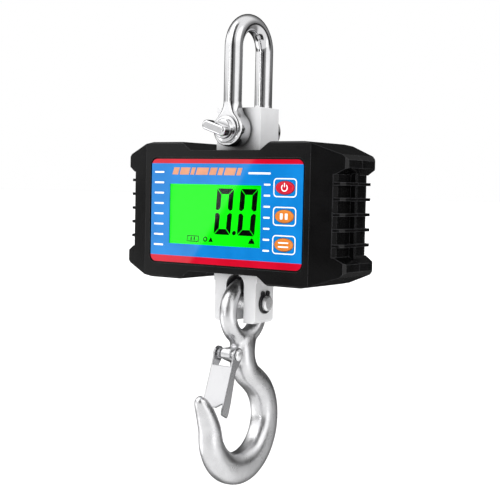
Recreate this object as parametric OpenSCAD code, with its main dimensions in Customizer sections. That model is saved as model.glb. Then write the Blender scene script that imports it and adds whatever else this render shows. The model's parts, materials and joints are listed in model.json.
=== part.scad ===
// Hanging crane scale with a shackle, a load cell column and a safety hook. Millimetres, +Z up.
// The origin is the top of the inside of the shackle bow, where the crane hook sits.
// The front, with the display, faces -Y.

/* [Casing] */
// Height of the casing
case_h = 100; // [96:1:110]
// Full width over the side grips
case_w = 192; // [186:1:200]
// Full depth front to back
case_d = 56; // [56:1:60]
// Wall thickness of the covers
wall = 2.8; // [2.4:0.1:3]
// Drop from the top of the bow to the middle of the casing
seat_drop = 130; // [128:1:140]
// Number of grip ribs on each side
grip_ribs = 5; // [3:1:6]
// Distance from one grip rib to the next
rib_pitch = 10.5; // [9:0.5:11]

/* [Label and display] */
// Width of the label sheet
label_w = 133; // [128:1:134]
// Height of the label sheet
label_h = 75.6; // [72:0.2:76]
// Width of the display window
window_w = 81.5; // [76:0.5:82]
// Height of the display window
window_h = 43.6; // [40:0.2:44]
// Height of the large digits
digit_h = 33; // [28:0.5:33]
// Travel of each key
key_travel = 0.6; // [0.4:0.1:0.6]

/* [Load cell] */
// Width of the column
cell_w = 38.4; // [36:0.2:39]
// Thickness of the column front to back
cell_d = 23; // [22:0.5:23]
// Width of the slot in the fork
slot_w = 15.8; // [15:0.2:17]

/* [Shackle] */
// Diameter of the shackle bar
bar_d = 13; // [12:0.5:13]
// Distance between the centres of the legs
leg_pitch = 38.4; // [38:0.2:40]
// Height from the pin to the inside of the bow
shackle_h = 71; // [70:1:72]
// Outside diameter of the eyes
eye_d = 25; // [22:0.5:25]
// Diameter of the shackle pin
pin_d = 12; // [10:0.5:12]

/* [Hook] */
// Diameter of the cross pin
cross_d = 11; // [10:0.5:12]
// Thickness of the ring at the top of the hook
ring_t = 12.5; // [11:0.5:13]
// Outside diameter of the ring
ring_od = 51; // [49:0.5:52]
// Radius of the middle line of the bowl
bowl_r = 34.2; // [33:0.1:35]
// How far the middle of the bowl stands forward of the cross pin
bowl_front = 4.2; // [2:0.1:6]

/* [Latch and batteries] */
// Inside width of the latch
latch_w = 16; // [15.8:0.2:17]
// Sheet thickness of the latch
latch_t = 1.3; // [1.2:0.1:1.5]
// Diameter of a battery cell
cell_dia = 14.2; // [13.9:0.1:14.4]
// Length of a battery cell without its tip
cell_len = 49; // [48:0.5:49]

/* [Hidden] */
$fn = 48;
cz = -seat_drop;
hh = case_h / 2;
hd = case_d / 2;
hw = case_w / 2;
pin_z = -shackle_h;
cross_z = cz - 65.7;
ring_r = (ring_od - ring_t) / 2;
ring_z = cross_z + cross_d / 2 + 0.3 - ring_r + ring_t / 2;
bowl_z = cz - 154.3;
pivot_y = -18.3;
pivot_z = cz - 102.5;
lean = 19.5;
cell_top = cz + 75;
cell_foot = cz - 80;
pcb_y = -16;
pcb_t = 1.6;
win_x = -8.5;
win_z = -2.4;
key_x = 52;
key_zs = [18.2, -1.4, -20.9];
cell_xs = [-33.5, -48.3, -63.1];
cell_y = 17;
screw_x = 68;
screw_z = 40;

// Shared shapes

module box(x0, x1, y0, y1, z0, z1) {
    translate([x0, y0, z0]) cube([x1 - x0, y1 - y0, z1 - z0]);
}

module cyl_x(x0, x1, r, y = 0, z = 0) {
    translate([x0, y, z]) rotate([0, 90, 0]) cylinder(r = r, h = x1 - x0);
}

module cyl_y(y0, y1, r, x = 0, z = 0) {
    translate([x, y0, z]) rotate([-90, 0, 0]) cylinder(r = r, h = y1 - y0);
}

module cone_y(y0, y1, r0, r1, x = 0, z = 0) {
    translate([x, y0, z]) rotate([-90, 0, 0]) cylinder(r1 = r0, r2 = r1, h = y1 - y0);
}

// A shape drawn in X and Z, made solid from y0 to y1
module along_y(y0, y1) {
    translate([0, y1, 0]) rotate([90, 0, 0]) linear_extrude(y1 - y0) children();
}

// A shape drawn in Y and Z, made solid from x0 to x1
module along_x(x0, x1) {
    translate([x0, 0, 0]) rotate([90, 0, 90]) linear_extrude(x1 - x0) children();
}

module round_rect(w, h, r) {
    square([w - 2 * r, h], center = true);
    square([w, h - 2 * r], center = true);
    for (x = [-1, 1], z = [-1, 1])
        translate([x * (w / 2 - r), z * (h / 2 - r)]) circle(r);
}

function oval(a, b, n = 40) = [for (i = [0:n - 1]) [a * cos(i * 360 / n), b * sin(i * 360 / n)]];

// The four quarters of an outline given by its upper right quarter
function flip(p) = [for (i = [len(p) - 1:-1:0]) p[i]];
function quarters(p) = concat(p, [for (q = flip(p)) [q[0], -q[1]]],
    [for (q = p) [-q[0], -q[1]]], [for (q = flip(p)) [-q[0], q[1]]]);

// Skins a list of closed rings of points and closes both ends
module loft(rings) {
    n = len(rings);
    s = len(rings[0]);
    pts = [for (ring = rings) for (p = ring) p];
    sides = [for (i = [0:n - 2]) for (j = [0:s - 1])
        [i * s + j, (i + 1) * s + j, (i + 1) * s + (j + 1) % s, i * s + (j + 1) % s]];
    first = [for (j = [0:s - 1]) j];
    last = [for (j = [s - 1:-1:0]) (n - 1) * s + j];
    polyhedron(points = pts, faces = concat(sides, [first], [last]), convexity = 8);
}

function unit(v) = v / norm(v);
function tangent(p, i) = unit(p[min(i + 1, len(p) - 1)] - p[max(i - 1, 0)]);

// A round wire along a list of points; ref is a direction the wire never runs in
module wire(path, r, ref = [0, 0, 1], sides = 8) {
    loft([for (i = [0:len(path) - 1])
        let (t = tangent(path, i), a = unit(cross(t, ref)), b = cross(t, a))
        [for (j = [0:sides - 1]) path[i] + r * (cos(j * 360 / sides) * a + sin(j * 360 / sides) * b)]]);
}

function bez(a, b, c, d, t) = pow(1 - t, 3) * a + 3 * pow(1 - t, 2) * t * b
    + 3 * (1 - t) * t * t * c + pow(t, 3) * d;
function bez_path(a, b, c, d, n = 12) = [for (i = [0:n]) bez(a, b, c, d, i / n)];

// Catmull-Rom values through a list of stations
function spline(p, i, t) = let (a = p[max(i - 1, 0)], b = p[i], c = p[i + 1],
    d = p[min(i + 2, len(p) - 1)])
    0.5 * (2 * b + (c - a) * t + (2 * a - 5 * b + 4 * c - d) * t * t
    + (3 * b - a - 3 * c + d) * t * t * t);

// Casing

outline = quarters([[66, hh], [72.5, hh - 1.4], [hw - 3.5, hh - 8.7], [hw, hh - 12.2]]);
plan = quarters([[72, hd], [hw - 1.5, hd - 7.7], [hw, hd - 10]]);
edge = quarters([[hd - 1.2, hh], [hd, hh - 1.2]]);
notch = [[-30.2, hh - 6.2], [-38.6, hh], [-45, hh + 10], [45, hh + 10], [38.6, hh], [30.2, hh - 6.2]];

function hollow(e) = quarters([[31.3 - 0.5 * e, hh - 6.2 - wall + e], [39.7 - 0.5 * e, hh - wall + e],
    [64.7 + 0.2 * e, hh - wall + e], [71.4 + 0.3 * e, hh - wall - 1.2 + e],
    [hw - 7.8 - wall + e, hh - 6.4 - wall + 0.8 * e]]);

module grip_room() {
    intersection() {
        along_y(-40, 40) polygon([[83, -28], [hw - 7.8, -28], [hw + 1, -33], [hw + 1, 33],
            [hw - 7.8, 28], [83, 28]]);
        translate([0, 0, -40]) linear_extrude(80) polygon([[hw - 9.2, -30], [hw - 9.2, -22.3],
            [hw - 7.8, -18.5], [hw - 7.8, 18.5], [hw - 9.2, 22.3], [hw - 9.2, 30], [hw + 4, 30],
            [hw + 4, -30]]);
    }
}

module grip_ribs_right() {
    for (i = [0:grip_ribs - 1])
        translate([0, 0, 0.7 + (i - (grip_ribs - 1) / 2) * rib_pitch - 1]) linear_extrude(2)
            polygon([[hw - 10, -22.6], [hw - 4.6, -20.6], [hw - 2.8, -16.8], [hw - 2.8, 16.8],
                [hw - 4.6, 20.6], [hw - 10, 22.6]]);
    box(hw - 9, hw - 4, -1.5, 1.5, -29, 29);
}

module case_block() {
    difference() {
        intersection() {
            along_y(-hd, hd) polygon(outline);
            translate([0, 0, -hh - 1]) linear_extrude(case_h + 2) polygon(plan);
            along_x(-hw - 1, hw + 1) polygon(edge);
        }
        for (m = [0, 1]) mirror([0, 0, m]) along_y(-40, 40) polygon(notch);
        for (m = [0, 1]) mirror([m, 0, 0]) difference() {
            grip_room();
            grip_ribs_right();
        }
    }
}

module case_room() {
    intersection() {
        along_y(-hd + 3, hd - 3) polygon(hollow(0));
        translate([0, 0, -hh]) linear_extrude(case_h)
            polygon(quarters([[71.4, hd - 3], [hw - 10.6, hd - 7.8]]));
    }
}

module gasket_line() {
    difference() {
        along_y(-0.6, 0.6) difference() {
            polygon(hollow(1.7));
            polygon(hollow(0.6));
        }
        box(-22.5, 22.5, -2, 2, -60, 60);
    }
}

module column_way() {
    box(-21.5, 21.5, -13.3, 13.3, -hh - 5, -38);
    box(-21.5, 21.5, -13.3, 13.3, 38, hh + 5);
}

module at_cover_screws() {
    for (x = [-screw_x, screw_x], z = [-screw_z, screw_z]) translate([x, 0, z]) children();
}

module at_column_screws() {
    for (x = [-12, 12], z = [-30, 30]) translate([x, 0, z]) children();
}

module at_board_screws() {
    for (x = [-57, 57], z = [-32.5, 32.5]) translate([x, 0, z]) children();
}

module front_cover() {
    color([0.11, 0.11, 0.115]) translate([0, 0, cz]) difference() {
        union() {
            difference() {
                intersection() {
                    case_block();
                    box(-120, 120, -40, 0, -70, 70);
                }
                case_room();
            }
            intersection() {
                case_block();
                at_cover_screws() cyl_y(-hd + 2, 0, 4.2);
            }
            at_board_screws() cyl_y(-hd + 2, pcb_y, 2.6);
        }
        column_way();
        gasket_line();
        at_cover_screws() cyl_y(-10, 1, 1.5);
        at_board_screws() cyl_y(-hd + 4, pcb_y + 1, 1);
        // The label lies on a land with a narrow gutter all round it
        translate([0, 0, -0.25]) {
            along_y(-hd - 1, -hd + 0.6) round_rect(label_w + 2.4, label_h + 2.4, 6);
            difference() {
                along_y(-hd - 1, -hd + 1.8) round_rect(label_w + 2.4, label_h + 2.4, 6);
                along_y(-hd - 2, -hd + 3) round_rect(label_w - 0.4, label_h - 0.4, 4.6);
            }
        }
        translate([win_x, 0, win_z]) {
            along_y(-hd - 1, -hd + 2.2) square([window_w + 4, window_h + 4], center = true);
            along_y(-hd, -hd + 4) square([window_w + 2, window_h + 2], center = true);
        }
        for (z = key_zs) translate([key_x, 0, z]) along_y(-hd - 1, -hd + 4) polygon(oval(7.95, 4.8));
    }
}

module rear_cover() {
    color([0.11, 0.11, 0.115]) translate([0, 0, cz]) difference() {
        union() {
            difference() {
                intersection() {
                    case_block();
                    box(-120, 120, 0, 40, -70, 70);
                }
                case_room();
            }
            intersection() {
                case_block();
                at_cover_screws() cyl_y(0, hd - 2, 5);
            }
            at_column_screws() cyl_y(cell_d / 2, hd - 2, 6);
            for (z = [-31, 31]) cyl_y(hd - 9, hd - 2, 2.6, cell_xs[1], z);
        }
        column_way();
        gasket_line();
        at_cover_screws() {
            cyl_y(-1, hd, 1.6);
            cyl_y(10, hd + 1, 3.2);
        }
        at_column_screws() {
            cyl_y(0, hd, 2.1);
            cyl_y(hd - 2.6, hd + 1, 4);
        }
        box(-71.9, -24.7, hd - 1.8, hd + 1, -34.5, 34.5);
        box(-70.5, -26.1, hd - 6, hd, -28, 28);
        for (z = [-31, 31]) cyl_y(hd - 8, hd, 1, cell_xs[1], z);
    }
}

module cover_gasket() {
    color([0.08, 0.08, 0.08]) translate([0, 0, cz]) gasket_line();
}

module cover_screws() {
    color([0.55, 0.56, 0.58]) translate([0, 0, cz]) at_cover_screws() difference() {
        union() {
            cyl_y(-9, 10.4, 1.5);
            cyl_y(10, 12.4, 2.9);
        }
        cyl_y(11.2, 13, 1.3, $fn = 6);
    }
}

module column_screws() {
    color([0.55, 0.56, 0.58]) translate([0, 0, cz]) at_column_screws() difference() {
        union() {
            cyl_y(3, hd - 2.3, 2);
            cyl_y(hd - 2.6, hd - 0.3, 3.7);
        }
        cyl_y(hd - 1.7, hd, 1.7, $fn = 6);
    }
}

module column_seals() {
    color([0.06, 0.06, 0.065]) translate([0, 0, cz]) for (m = [0, 1]) mirror([0, 0, m]) difference() {
        union() {
            box(-21.5, 21.5, -13.3, 13.3, hh - 9.2, hh - 5.4);
            box(-23.8, 23.8, -15.4, 15.4, hh - 10.6, hh - 9);
        }
        box(-cell_w / 2, cell_w / 2, -cell_d / 2, cell_d / 2, hh - 20, hh + 5);
    }
}

// Column, shackle and pins

module load_cell() {
    color([0.72, 0.73, 0.75]) difference() {
        union() {
            box(-cell_w / 2, cell_w / 2, -cell_d / 2, cell_d / 2, cz - hh - 0.5, cell_top);
            along_y(-cell_d / 2, cell_d / 2) polygon([[-cell_w / 2 + 1, cz - hh], [cell_w / 2 - 1, cz - hh],
                [cell_w / 2 - 1, cell_foot + 2], [cell_w / 2 - 3, cell_foot],
                [-cell_w / 2 + 3, cell_foot], [-cell_w / 2 + 1, cell_foot + 2]]);
        }
        cyl_y(-20, 20, pin_d / 2 + 0.05, 0, pin_z);
        cyl_y(-20, 20, slot_w / 2, 0, cell_foot + 27);
        box(-slot_w / 2, slot_w / 2, -20, 20, cell_foot - 5, cell_foot + 27);
        cyl_x(-25, 25, cross_d / 2, 0, cross_z);
        for (s = [-1, 1]) translate([0, 0, cz]) {
            cyl_y(s > 0 ? cell_d / 2 - 7.5 : -cell_d / 2 - 1, s > 0 ? cell_d / 2 + 1 : -cell_d / 2 + 7.5, 9);
            cyl_y(s > 0 ? 1 : -20, s > 0 ? 20 : -1, 5, 0, s * 100);
        }
        translate([0, 0, cz]) {
            at_column_screws() cyl_y(2.5, 20, 2.04);
            cyl_x(7, 30, 2, 0, 0);
        }
    }
}

module strain_gauges() {
    color([0.85, 0.62, 0.25]) translate([0, 0, cz]) for (s = [-1, 1], z = [-3.6, 3.6])
        box(-3, 3, s > 0 ? 4 : -4.15, s > 0 ? 4.15 : -4, z - 2.6, z + 2.6);
}

module gauge_sealant() {
    color([0.82, 0.82, 0.8]) translate([0, 0, cz]) {
        cyl_y(-10.8, -8.3, 9);
        cyl_y(8.3, 10.8, 9);
    }
}

module shackle_bow() {
    r = bar_d / 2;
    eye_y = leg_pitch / 2;
    color([0.8, 0.8, 0.82]) difference() {
        union() {
            translate([0, 0, -eye_y + r]) rotate([0, 90, 0]) rotate([0, 0, 90])
                rotate_extrude(angle = 180, $fn = 96) translate([eye_y, 0]) circle(r);
            for (y = [-eye_y, eye_y]) {
                translate([0, y, pin_z]) cylinder(r = r, h = shackle_h - eye_y + r);
                intersection() {
                    translate([0, y, pin_z + 8.6]) cylinder(r1 = 8.9, r2 = r, h = 4.4);
                    box(-20, 20, y > 0 ? 12 : -26.4, y > 0 ? 26.4 : -12, pin_z - 10, 0);
                }
                cyl_y(y > 0 ? 12 : -26.4, y > 0 ? 26.4 : -12, eye_d / 2, 0, pin_z);
            }
        }
        cyl_y(-40, 40, pin_d / 2 + 0.05, 0, pin_z);
        for (y = [-12, 12]) translate([0, 0, pin_z])
            box(-20, 20, y > 0 ? 0 : -12, y > 0 ? 12 : 0, -20, 16);
    }
}

module shackle_pin() {
    color([0.83, 0.83, 0.85]) translate([0, 0, pin_z]) {
        cyl_y(-27, 26.6, pin_d / 2);
        cone_y(26.6, 27.4, pin_d / 2, pin_d / 2 - 0.8);
        cyl_y(-28.2, -26.5, 9.2);
        cone_y(-31.6, -28.2, 6.6, 7.5);
        rotate([0, 18, 0]) intersection() {
            along_y(-42.5, -28.5) round_rect(20.6, 7, 3.4);
            translate([0, 0, -12]) linear_extrude(24) polygon([[-6, -28], [-6.5, -31], [-10.3, -34.4],
                [-10.3, -40.2], [-8.6, -43], [8.6, -43], [10.3, -40.2], [10.3, -34.4], [6.5, -31], [6, -28]]);
        }
    }
}

module cross_pin() {
    color([0.74, 0.74, 0.76]) difference() {
        union() {
            cyl_x(-21.6, 21.6, cross_d / 2, 0, cross_z);
            for (m = [0, 1]) mirror([m, 0, 0]) translate([21.6, 0, cross_z]) rotate([0, 90, 0])
                cylinder(r1 = cross_d / 2, r2 = cross_d / 2 - 1, h = 1);
        }
        for (m = [0, 1]) mirror([m, 0, 0]) difference() {
            cyl_x(18.5, 19.6, 8, 0, cross_z);
            cyl_x(18, 20, cross_d / 2 - 0.9, 0, cross_z);
        }
    }
}

module retaining_rings() {
    color([0.05, 0.05, 0.05]) for (m = [0, 1]) mirror([m, 0, 0]) difference() {
        union() {
            cyl_x(18.55, 19.55, 7.4, 0, cross_z);
            for (s = [-1, 1]) cyl_x(18.55, 19.55, 1.9, s * 3.1, cross_z + 7.2);
        }
        cyl_x(17, 22, cross_d / 2 - 0.86, 0, cross_z);
        box(17, 22, -1.4, 1.4, cross_z, cross_z + 12);
        for (s = [-1, 1]) cyl_x(17, 22, 0.7, s * 3.2, cross_z + 7.3);
    }
}

// Hook and latch

// Stations along the hook: forward position, height, half width, half thickness, squareness
function on_bowl(a, w, t, k) = [-bowl_front + bowl_r * cos(a), bowl_z + bowl_r * sin(a), w, t, k];
stations = [[0, cz - 91.5, 7.4, 11, 1], [-0.4, cz - 96, 8.4, 10, 0.9], [-0.6, cz - 103, 8.8, 8.9, 0.85],
    [0.6, cz - 111, 9, 9, 0.8], [5.4, cz - 119, 9, 9.2, 0.75], on_bowl(58, 9, 9.3, 0.7), on_bowl(40, 9, 9.5, 0.7),
    on_bowl(20, 9, 9.6, 0.7), on_bowl(0, 9, 9.7, 0.7), on_bowl(-22, 9, 10.3, 0.7),
    on_bowl(-45, 9, 11.1, 0.7), on_bowl(-68, 9, 11.7, 0.7), on_bowl(-90, 9, 11.8, 0.72),
    on_bowl(-112, 8.8, 11.3, 0.76), on_bowl(-135, 8.5, 10.4, 0.82), on_bowl(-158, 8.2, 9.4, 0.9),
    on_bowl(-178, 7.9, 8.6, 1), [-41, cz - 148.5, 7.4, 7.8, 1], [-44.6, cz - 141, 6.6, 6.7, 1],
    [-48.4, cz - 135, 5.4, 5.4, 1], [-51.2, cz - 131.6, 3.9, 3.8, 1], [-52.8, cz - 129.9, 1.8, 1.8, 1]];
hook_line = concat([for (i = [0:len(stations) - 2]) for (t = [0, 0.333, 0.667])
    spline(stations, i, t)], [stations[len(stations) - 1]]);

function bent(v, k) = sign(v) * pow(abs(v), k);
function hook_ring(i) = let (q = hook_line[i], a = hook_line[max(i - 1, 0)],
    b = hook_line[min(i + 1, len(hook_line) - 1)], t = unit([b[0] - a[0], b[1] - a[1]]))
    [for (j = [0:23]) let (c = bent(cos(j * 15), q[4]), s = bent(sin(j * 15), q[4]))
        [q[2] * c, q[0] + q[3] * s * t[1], q[1] - q[3] * s * t[0]]];

module hook() {
    color([0.7, 0.7, 0.72]) difference() {
        union() {
            loft([for (i = [0:len(hook_line) - 1]) hook_ring(i)]);
            translate([0, 0, ring_z]) rotate([0, 90, 0]) rotate_extrude($fn = 96)
                translate([ring_r, 0]) circle(ring_t / 2, $fn = 32);
            along_x(-4.4, 4.4) polygon([[-3, cz - 95], [-12, cz - 98.5], [pivot_y - 2, pivot_z + 4.4],
                [pivot_y - 4.2, pivot_z + 1.8], [pivot_y - 4.2, pivot_z - 2], [pivot_y - 1, pivot_z - 4.4],
                [-8, cz - 111], [-3, cz - 113]]);
        }
        cyl_x(-10, 10, 2.45, pivot_y, pivot_z);
    }
}

module latch_rivet() {
    color([0.78, 0.78, 0.8]) {
        cyl_x(-9.8, 9.8, 2.4, pivot_y, pivot_z);
        for (m = [0, 1]) mirror([m, 0, 0]) translate([9.6, pivot_y, pivot_z]) rotate([0, 90, 0]) {
            cylinder(r1 = 4.3, r2 = 4, h = 0.8);
            translate([0, 0, 0.8]) cylinder(r1 = 4, r2 = 2.6, h = 0.9);
        }
    }
}

module latch_frame() {
    translate([0, pivot_y, pivot_z]) rotate([-lean, 0, 0]) children();
}

module latch() {
    i = latch_w / 2;
    o = i + latch_t;
    color([0.86, 0.86, 0.87]) latch_frame() difference() {
        union() {
            difference() {
                along_x(-o, o) polygon([[-4.6, -9.5], [-4.6, -42], [-3.8, -44.5], [2.6, -45.5], [3.6, -43],
                    [3.4, -34], [1.2, -14], [1.2, -9.5]]);
                along_x(-i, i) polygon([[-4.6 + latch_t, 0], [-4.6 + latch_t, -60], [10, -60], [10, 0]]);
            }
            for (x = [-o, i]) {
                cyl_x(x, x + latch_t, 5.2, 0, 0);
                along_x(x, x + latch_t) polygon([[-5.2, -1.5], [-4.6, -10], [1.2, -14], [1.2, -12], [4.9, -2]]);
            }
        }
        cyl_x(-20, 20, 2.46, 0, 0);
        along_y(-8, -4.6 + latch_t) polygon([[-o + 1.3, -50], [-o + 1.3, -36.5], [-2.5, -40], [2.5, -40],
            [o - 1.3, -36.5], [o - 1.3, -50]]);
    }
}

module latch_spring() {
    turns = 2.75;
    n = 34;
    coil = [for (i = [0:n]) [-7.6 + 2.5 * i / n, pivot_y + 3.55 * cos(200 + i * 360 * turns / n),
        pivot_z + 3.55 * sin(200 + i * 360 * turns / n)]];
    color([0.1, 0.1, 0.1]) wire(coil, 0.42, [1, 0, 0], 6);
}

// Display, board and keys

module label_sheet() {
    color([0.08, 0.5, 0.85]) translate([0, 0, cz]) difference() {
        translate([0, 0, -0.25]) along_y(-hd + 0.15, -hd + 0.6) round_rect(label_w, label_h, 4.8);
        translate([win_x, 0, win_z]) along_y(-hd - 1, -hd + 1) square([window_w, window_h], center = true);
        for (z = key_zs) translate([key_x, 0, z]) along_y(-hd - 1, -hd + 1) polygon(oval(7.95, 4.8));
    }
}

module display_window() {
    color([0.8, 0.95, 0.85, 0.35]) translate([win_x, 0, cz + win_z])
        along_y(-hd + 0.6, -hd + 2.2) square([window_w + 4, window_h + 4], center = true);
}

module display_glass() {
    color([0.1, 0.9, 0.15]) translate([win_x, 0, cz + win_z])
        along_y(-hd + 2.45, -hd + 5.2) square([window_w + 1.6, window_h + 1.6], center = true);
}

// The six outer strokes of a zero, mitred at the corners
module zero_strokes() {
    w = digit_h * 0.223;
    h = digit_h / 2;
    t = digit_h * 0.125;
    for (m = [0, 1]) mirror([0, m]) {
        polygon([[-w + 0.5, h], [w - 0.5, h], [w - t - 0.3, h - t], [-w + t + 0.3, h - t]]);
        for (k = [0, 1]) mirror([k, 0])
            polygon([[w, h - 0.5], [w, 1.5], [w - t / 2, 0.7], [w - t, t / 2 + 0.4], [w - t, h - t - 0.4]]);
    }
}

// Small marks: hold bars, a ring for a steady load, a triangle for zero, and a weight for the unit
module display_marks() {
    translate([-26.7, -20]) difference() {
        square([11, 4.6], center = true);
        square([9.6, 3.2], center = true);
    }
    for (x = [-28.1, -25.3]) translate([x, -20]) square([1.2, 2.3], center = true);
    translate([-15.3, -20]) difference() {
        circle(1.9);
        circle(1.05);
    }
    translate([-10.3, -21.8]) polygon([[-2.1, 0], [2.1, 0], [0, 3.6]]);
    translate([25.4, -21.6]) polygon([[-2.7, 0], [2.7, 0], [1.7, 2.5], [-1.7, 2.5]]);
    translate([25.4, -18.7]) circle(0.95);
}

module display_segments() {
    color([0.02, 0.05, 0.02]) translate([0, -hd + 2.45, cz]) rotate([90, 0, 0]) linear_extrude(0.15)
        multmatrix([[1, 0.08, 0, 0], [0, 1, 0, 0], [0, 0, 1, 0], [0, 0, 0, 1]]) {
            translate([-0.8, 0.3]) zero_strokes();
            translate([19.8, 0.3]) zero_strokes();
            translate([9.7, -14.6]) circle(1.65);
            display_marks();
        }
}

module display_backlight() {
    color([0.2, 1, 0.25]) translate([win_x, 0, cz + win_z])
        along_y(-hd + 5.3, -hd + 8.3) square([window_w + 1, window_h + 1], center = true);
}

module display_frame() {
    color([0.9, 0.9, 0.9]) translate([win_x, 0, cz + win_z]) difference() {
        along_y(-hd + 3.2, pcb_y) square([window_w + 6, window_h + 6], center = true);
        along_y(-hd, -hd + 5.25) square([window_w + 1.8, window_h + 1.8], center = true);
        along_y(-hd, -hd + 8.4) square([window_w + 1.2, window_h + 1.2], center = true);
        along_y(-hd, 0) square([window_w - 8, window_h - 8], center = true);
        box(-31, 31, -hd + 4.6, 0, -window_h / 2 - 1.5, -window_h / 2 + 2);
    }
}

module display_pins() {
    color([0.75, 0.75, 0.78]) for (i = [-9:9]) translate([win_x + i * 3, 0, cz + win_z - window_h / 2 - 0.9])
        box(-0.3, 0.3, -hd + 5.2, pcb_y + pcb_t + 0.8, -0.25, 0.25);
}

module circuit_board() {
    color([0.05, 0.32, 0.16]) translate([0, 0, cz]) difference() {
        box(-63, 63, pcb_y, pcb_y + pcb_t, -36, 36);
        at_board_screws() cyl_y(-hd, 0, 1.4);
        for (i = [-9:9]) translate([win_x + i * 3, 0, win_z - window_h / 2 - 0.9])
            box(-0.35, 0.35, -hd, 0, -0.3, 0.3);
    }
}

module board_screws() {
    color([0.6, 0.6, 0.62]) translate([0, 0, cz]) at_board_screws() difference() {
        union() {
            cyl_y(pcb_y - 6, pcb_y + pcb_t, 1);
            cyl_y(pcb_y + pcb_t, pcb_y + pcb_t + 1.4, 2.3);
        }
        box(-0.35, 0.35, pcb_y + pcb_t + 0.7, 0, -1.5, 1.5);
        box(-1.5, 1.5, pcb_y + pcb_t + 0.7, 0, -0.35, 0.35);
    }
}

module board_chips() {
    color([0.06, 0.06, 0.06]) translate([0, pcb_y + pcb_t, cz]) {
        box(-42, -30, 0, 1.4, 4, 16);
        box(26, 34, 0, 1.4, 10, 18);
        box(42, 47, 0, 1.1, -6, -2);
        cyl_y(0, 1.4, 3.2, -24, 24);
    }
}

module wire_sockets() {
    color([0.92, 0.9, 0.84]) translate([0, pcb_y + pcb_t, cz]) for (p = [[-56, -26, 3], [31, 0, 4]])
        difference() {
            box(p[0] - p[2], p[0] + p[2], 0, 5, p[1] - 2.5, p[1] + 2.5);
            box(p[0] - p[2] + 0.8, p[0] + p[2] - 0.8, 1, 6, p[1] - 1.7, p[1] + 1.7);
        }
}

module key_switches() {
    color([0.12, 0.12, 0.12]) translate([key_x, 0, cz]) for (z = key_zs) {
        box(-3.1, 3.1, pcb_y - 1.2, pcb_y, z - 3.1, z + 3.1);
        cyl_y(pcb_y - 1.7, pcb_y - 1.2, 1.7, 0, z);
    }
}

module remote_receiver() {
    color([0.1, 0.25, 0.5]) translate([0, pcb_y + pcb_t, cz]) {
        box(40, 56, 0, 0.8, 20, 30);
        box(42, 48, 0.8, 2, 22, 28);
        box(51, 54.5, 0.8, 2.2, 21.5, 28.5);
    }
}

module key_cap(z) {
    translate([key_x, 0, cz + z]) {
        along_y(-hd - 0.7, -hd + 3.2) polygon(oval(7.65, 4.5));
        cone_y(-hd + 4.1, pcb_y - 1.7 - key_travel - 0.05, 3.2, 2.4);
        along_y(-hd + 3.1, -hd + 4.2) polygon(oval(9.4, 6));
    }
}

module key_power() {
    color([0.85, 0.05, 0.08]) key_cap(key_zs[0]);
}

module key_hold() {
    color([0.95, 0.45, 0.08]) key_cap(key_zs[1]);
}

module key_tare() {
    color([0.95, 0.45, 0.08]) key_cap(key_zs[2]);
}

// Batteries and leads

module battery_holder() {
    color([0.1, 0.1, 0.1]) translate([0, 0, cz]) difference() {
        box(-72, -24.8, 8, hd - 3.2, -29.2, 29.2);
        for (x = cell_xs) {
            cyl_way(x, 7.35, -27.2, 27.2);
            box(x - 7.35, x + 7.35, cell_y, hd + 2, -27.2, 27.2);
        }
        box(-61, -55, 5, 12, -24, -20);
        for (z = [-31, 31]) cyl_y(hd - 9.5, hd, 2.9, cell_xs[1], z);
    }
}

module cyl_way(x, r, z0, z1) {
    translate([x, cell_y, z0]) cylinder(r = r, h = z1 - z0);
}

module battery_cells() {
    color([0.75, 0.55, 0.2]) translate([0, 0, cz]) for (i = [0:2]) {
        up = i == 1 ? -1 : 1;
        translate([cell_xs[i], cell_y, 0]) {
            translate([0, 0, -cell_len / 2 + up * 0.6]) cylinder(r = cell_dia / 2, h = cell_len);
            translate([0, 0, up > 0 ? cell_len / 2 + 0.6 : -cell_len / 2 - 0.6 - 1.2])
                cylinder(r = 2.7, h = 1.2);
        }
    }
}

module battery_contacts() {
    color([0.78, 0.78, 0.76]) translate([0, 0, cz]) for (i = [0:2]) {
        up = i == 1 ? -1 : 1;
        translate([cell_xs[i], cell_y, 0]) {
            translate([-4.5, -5, up > 0 ? 26.6 : -26.95]) cube([9, 10, 0.35]);
            translate([-4.5, -5, up > 0 ? -26.95 : 26.6]) cube([9, 10, 0.35]);
            mirror([0, 0, up > 0 ? 0 : 1])
                wire([for (k = [0:26]) [(4.2 - 1.6 * k / 26) * cos(k * 40), (4.2 - 1.6 * k / 26) * sin(k * 40),
                    -26.3 + 2 * k / 26]], 0.32, [0, 0, 1], 6);
        }
    }
}

module battery_leads() {
    for (s = [0, 1]) color(s > 0 ? [0.75, 0.05, 0.05] : [0.05, 0.05, 0.05]) {
        x = -59.5 + s * 3;
        wire(bez_path([x, 9.6, cz - 22], [x, 2, cz - 22], [-57 + s * 2, 0, cz - 26],
            [-57 + s * 2, -12.6, cz - 26], 14), 0.6, [1, 0, 0], 8);
    }
}

module load_cell_lead() {
    color([0.12, 0.12, 0.12]) wire(concat([[8, 0, cz], [14, 0, cz]], bez_path([20, 0, cz], [30, 0, cz],
        [31, -2, cz], [31, -12.6, cz], 14)), 1.5, [0, 0, 1], 10);
}

module battery_door() {
    color([0.11, 0.11, 0.115]) translate([0, 0, cz]) difference() {
        union() {
            box(-71.6, -25, hd - 1.6, hd - 0.1, -34.2, 34.2);
            box(-69.9, -26.7, hd - 2.7, hd - 1.5, -27.4, 27.4);
        }
        for (z = [-31, 31]) cyl_y(hd - 4, hd + 1, 1.3, cell_xs[1], z);
        for (i = [-2:2]) box(-52.3, -44.3, hd - 0.6, hd + 1, i * 3 - 0.7, i * 3 + 0.7);
    }
}

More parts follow.
